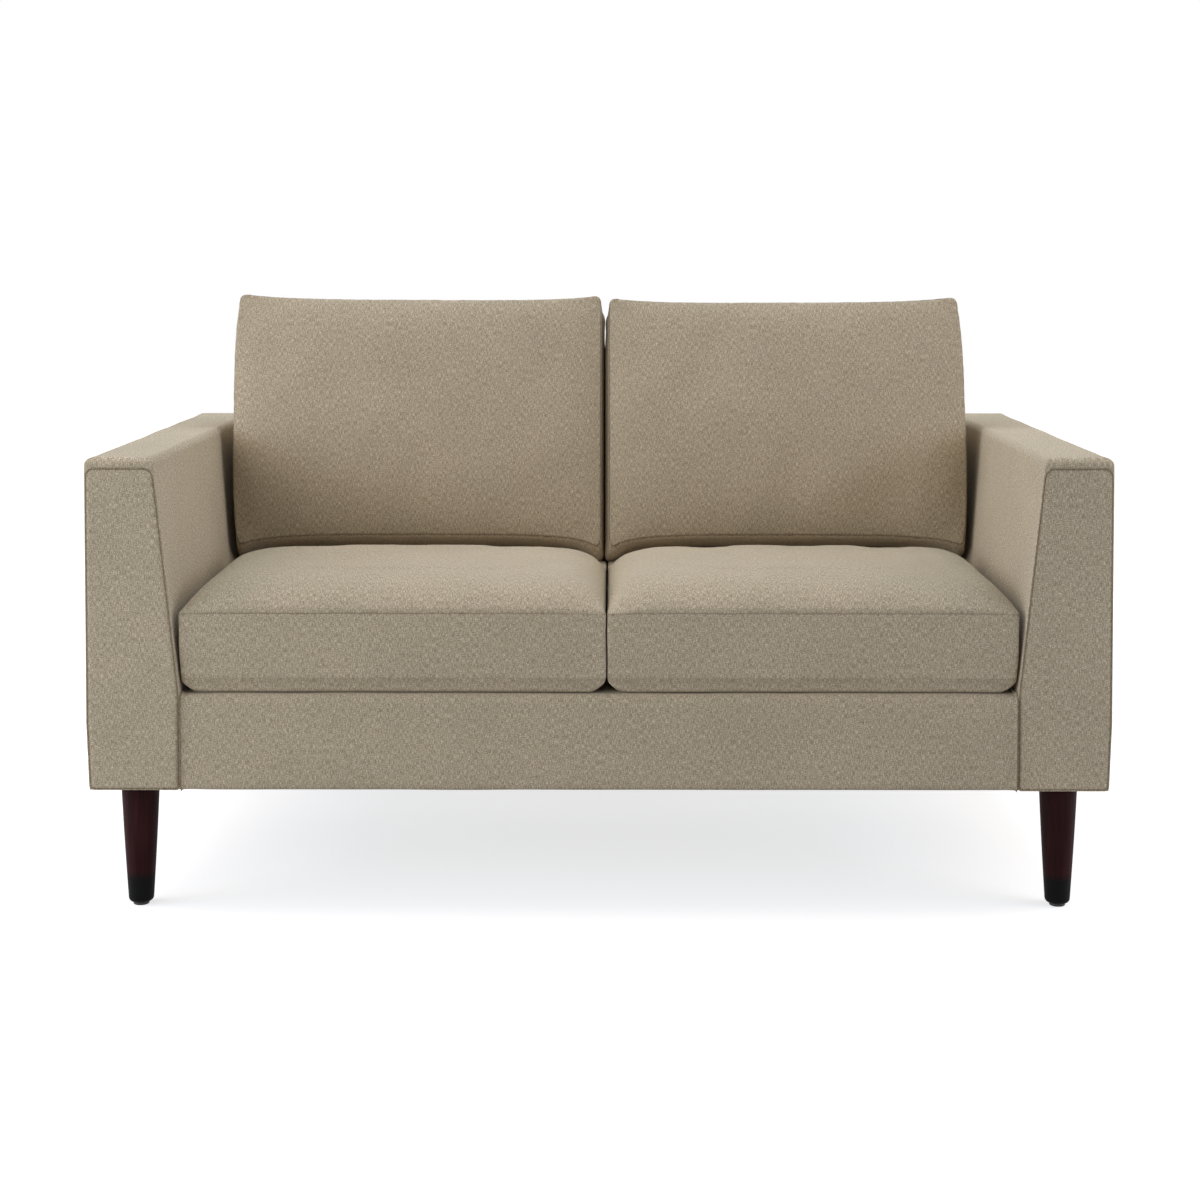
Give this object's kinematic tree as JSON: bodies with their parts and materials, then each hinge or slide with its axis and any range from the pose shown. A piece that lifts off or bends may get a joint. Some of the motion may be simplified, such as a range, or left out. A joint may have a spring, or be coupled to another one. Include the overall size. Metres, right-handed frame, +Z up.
{
  "type": "high back settee",
  "caption": "Upholstered settee with tall loose back cushions, crowned boxed seat cushions, tapered track arms and turned tapered wooden legs.",
  "frame": {"origin": "on the floor under the middle of the settee", "axes": "+X to the right seen from the front, +Y towards the rear, +Z up; the front faces -Y"},
  "size_m": [1.524, 0.864, 0.9161],
  "materials": {
    "upholstery_cloth": "matte",
    "deck_cloth": "matte",
    "dust_cloth": "matte",
    "foam": "matte",
    "timber": "matte",
    "plywood": "matte",
    "leg_wood": "satin",
    "spring_steel": "satin",
    "plated_steel": "satin",
    "nylon": "satin",
    "zip_nylon": "satin"
  },
  "bodies": {
    "frame": {"front_rail": "timber", "rear_rail": "timber", "centre_stretcher": "timber", "back_top_rail": "timber", "back_upright": "timber", "spring_set_left": "spring_steel", "arm_front_panel_left": "plywood", "arm_rear_panel_left": "plywood", "arm_top_board_left": "timber", "arm_side_rail_left": "timber", "arm_pad_left": "foam", "arm_cover_left": "upholstery_cloth", "spring_set_right": "spring_steel", "arm_front_panel_right": "plywood", "arm_rear_panel_right": "plywood", "arm_top_board_right": "timber", "arm_side_rail_right": "timber", "arm_pad_right": "foam", "arm_cover_right": "upholstery_cloth", "deck_pad": "foam", "front_rail_pad": "foam", "back_pad": "foam", "deck_cover": "deck_cloth", "front_rail_cover": "upholstery_cloth", "inside_back_cover": "upholstery_cloth", "outside_back_cover": "upholstery_cloth", "dust_cover": "dust_cloth", "corner_block_front_left": "timber", "leg_plate_front_left": "plated_steel", "hanger_bolt_front_left": "plated_steel", "leg_front_left": "leg_wood", "glide_front_left": "nylon", "corner_block_front_right": "timber", "leg_plate_front_right": "plated_steel", "hanger_bolt_front_right": "plated_steel", "leg_front_right": "leg_wood", "glide_front_right": "nylon", "corner_block_rear_left": "timber", "leg_plate_rear_left": "plated_steel", "hanger_bolt_rear_left": "plated_steel", "leg_rear_left": "leg_wood", "glide_rear_left": "nylon", "corner_block_rear_right": "timber", "leg_plate_rear_right": "plated_steel", "hanger_bolt_rear_right": "plated_steel", "leg_rear_right": "leg_wood", "glide_rear_right": "nylon"},
    "seat_cushion_left": {"seat_cushion_cover_left": "upholstery_cloth", "seat_cushion_core_left": "foam", "seat_cushion_zip_left": "zip_nylon"},
    "seat_cushion_right": {"seat_cushion_cover_right": "upholstery_cloth", "seat_cushion_core_right": "foam", "seat_cushion_zip_right": "zip_nylon"},
    "back_cushion_left": {"back_cushion_cover_left": "upholstery_cloth", "back_cushion_core_left": "foam", "back_cushion_zip_left": "zip_nylon"},
    "back_cushion_right": {"back_cushion_cover_right": "upholstery_cloth", "back_cushion_core_right": "foam", "back_cushion_zip_right": "zip_nylon"}
  },
  "joints": [
    {"name": "seat_cushion_left_pull_out", "type": "slide", "parent": "frame", "child": "seat_cushion_left", "axis": [0, -1, 0], "range_m": [0, 0.64]},
    {"name": "seat_cushion_right_pull_out", "type": "slide", "parent": "frame", "child": "seat_cushion_right", "axis": [0, -1, 0], "range_m": [0, 0.64]},
    {"name": "back_cushion_left_lift_out", "type": "slide", "parent": "frame", "child": "back_cushion_left", "axis": [0, 0.225, 0.9744], "range_m": [0, 0.27]},
    {"name": "back_cushion_right_lift_out", "type": "slide", "parent": "frame", "child": "back_cushion_right", "axis": [0, 0.225, 0.9744], "range_m": [0, 0.27]}
  ]
}
